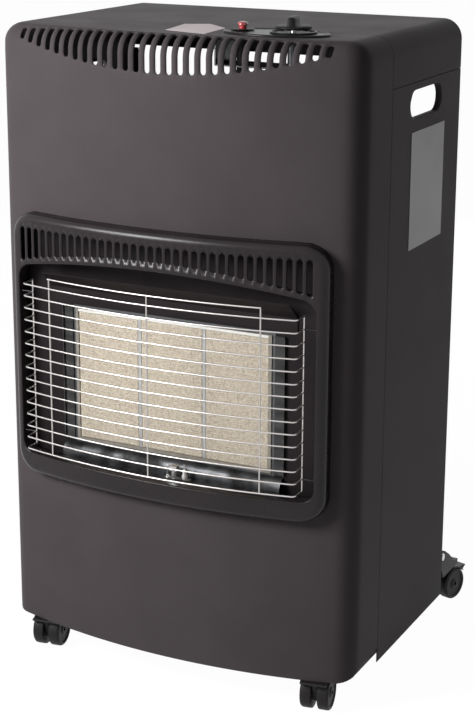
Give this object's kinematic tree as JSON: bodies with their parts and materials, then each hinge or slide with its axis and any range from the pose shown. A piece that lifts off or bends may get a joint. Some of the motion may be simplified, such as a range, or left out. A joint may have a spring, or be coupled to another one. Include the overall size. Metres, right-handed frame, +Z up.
{
  "type": "portable gas cabinet heater",
  "caption": "Upright sheet-metal cabinet heater with a bowed front, ceramic plaque burner behind a wire guard, slotted top with a turn knob and igniter, on swivelling twin-wheel casters.",
  "frame": {"origin": "on the floor, in the middle of the overall box", "axes": "+Z up; -Y out of the bowed front with the burner; +X to the right of someone facing the front"},
  "size_m": [0.4344, 0.4376, 0.7485],
  "materials": {
    "charcoal_coat": "charcoal powder coat with a fine texture",
    "black_coat": "satin black enamel",
    "black_plastic": "moulded black plastic",
    "red_plastic": "red plastic",
    "bright_wire": "bright plated wire",
    "bright_steel": "plain steel sheet and turned steel",
    "burner_steel": "aluminised steel",
    "gas_brass": "turned brass",
    "ceramic_plaque": "porous cream ceramic with fine pores",
    "white_ceramic": "white ceramic and ceramic fibre"
  },
  "bodies": {
    "cabinet": {"front_shell": "charcoal_coat", "top_cover": "charcoal_coat", "side_panel_right": "charcoal_coat", "side_panel_left": "charcoal_coat", "base_tray": "black_coat", "bottle_shelf": "black_coat", "shelf_screw_right": "bright_steel", "shelf_screw_left": "bright_steel", "heat_shield": "bright_steel", "bezel": "black_coat", "wire_guard": "bright_wire", "burner_surround": "black_coat", "hood_deflector": "black_coat", "lower_tray": "bright_steel", "reflector_right": "bright_steel", "reflector_left": "bright_steel", "burner_box": "burner_steel", "plaque_gasket": "white_ceramic", "plaque_left": "ceramic_plaque", "mixing_tube_left": "burner_steel", "plaque_centre": "ceramic_plaque", "mixing_tube_centre": "burner_steel", "plaque_right": "ceramic_plaque", "mixing_tube_right": "burner_steel", "separator_left": "burner_steel", "separator_right": "burner_steel", "injector_manifold": "gas_brass", "gas_pipe": "burner_steel", "pilot_pipe": "burner_steel", "pilot_burner": "bright_steel", "spark_electrode": "white_ceramic", "thermocouple": "gas_brass", "control_bracket": "bright_steel", "gas_valve": "gas_brass", "hose_inlet": "gas_brass", "escutcheon": "black_plastic", "piezo_igniter": "black_plastic"},
    "spindle": {"valve_spindle": "bright_steel"},
    "knob": {"control_knob": "black_plastic"},
    "button": {"igniter_button": "red_plastic"},
    "caster_front_right_fork": {"caster_front_right_housing": "black_plastic"},
    "caster_front_right_wheels": {"caster_front_right_axle": "bright_steel", "caster_front_right_wheel_a": "black_plastic", "caster_front_right_wheel_b": "black_plastic"},
    "caster_front_left_fork": {"caster_front_left_housing": "black_plastic"},
    "caster_front_left_wheels": {"caster_front_left_axle": "bright_steel", "caster_front_left_wheel_a": "black_plastic", "caster_front_left_wheel_b": "black_plastic"},
    "caster_rear_right_fork": {"caster_rear_right_housing": "black_plastic"},
    "caster_rear_right_wheels": {"caster_rear_right_axle": "bright_steel", "caster_rear_right_wheel_a": "black_plastic", "caster_rear_right_wheel_b": "black_plastic"},
    "caster_rear_left_fork": {"caster_rear_left_housing": "black_plastic"},
    "caster_rear_left_wheels": {"caster_rear_left_axle": "bright_steel", "caster_rear_left_wheel_a": "black_plastic", "caster_rear_left_wheel_b": "black_plastic"}
  },
  "joints": [
    {"name": "knob_press", "type": "slide", "parent": "cabinet", "child": "spindle", "axis": [0, 0, -1], "range_m": [0, 0.003], "stiffness_N_per_m": 1000, "springref_m": -0.004},
    {"name": "knob_turn", "type": "hinge", "parent": "spindle", "child": "knob", "pos_m": [0.118, -0.1138, 0.745], "axis": [0, 0, 1], "range_deg": [0, 210]},
    {"name": "igniter_press", "type": "slide", "parent": "cabinet", "child": "button", "axis": [0, 0, -1], "range_m": [0, 0.003], "stiffness_N_per_m": 1500, "springref_m": -0.003},
    {"name": "front_right_swivel", "type": "hinge", "parent": "cabinet", "child": "caster_front_right_fork", "pos_m": [0.1728, -0.1382, 0.05], "axis": [0, 0, 1], "continuous": true},
    {"name": "front_right_roll", "type": "hinge", "parent": "caster_front_right_fork", "child": "caster_front_right_wheels", "pos_m": [0.17468, -0.15006, 0.02], "axis": [-0.9877, -0.1564, 0], "continuous": true},
    {"name": "front_left_swivel", "type": "hinge", "parent": "cabinet", "child": "caster_front_left_fork", "pos_m": [-0.1728, -0.1382, 0.05], "axis": [0, 0, 1], "continuous": true},
    {"name": "front_left_roll", "type": "hinge", "parent": "caster_front_left_fork", "child": "caster_front_left_wheels", "pos_m": [-0.17092, -0.15006, 0.02], "axis": [-0.9877, -0.1564, 0], "continuous": true},
    {"name": "rear_right_swivel", "type": "hinge", "parent": "cabinet", "child": "caster_rear_right_fork", "pos_m": [0.1933, 0.1804, 0.05], "axis": [0, 0, 1], "continuous": true},
    {"name": "rear_right_roll", "type": "hinge", "parent": "caster_rear_right_fork", "child": "caster_rear_right_wheels", "pos_m": [0.19641, 0.19199, 0.02], "axis": [0.9659, -0.2588, 0], "continuous": true},
    {"name": "rear_left_swivel", "type": "hinge", "parent": "cabinet", "child": "caster_rear_left_fork", "pos_m": [-0.1933, 0.1804, 0.05], "axis": [0, 0, 1], "continuous": true},
    {"name": "rear_left_roll", "type": "hinge", "parent": "caster_rear_left_fork", "child": "caster_rear_left_wheels", "pos_m": [-0.19641, 0.19199, 0.02], "axis": [0.9659, 0.2588, 0], "continuous": true}
  ]
}
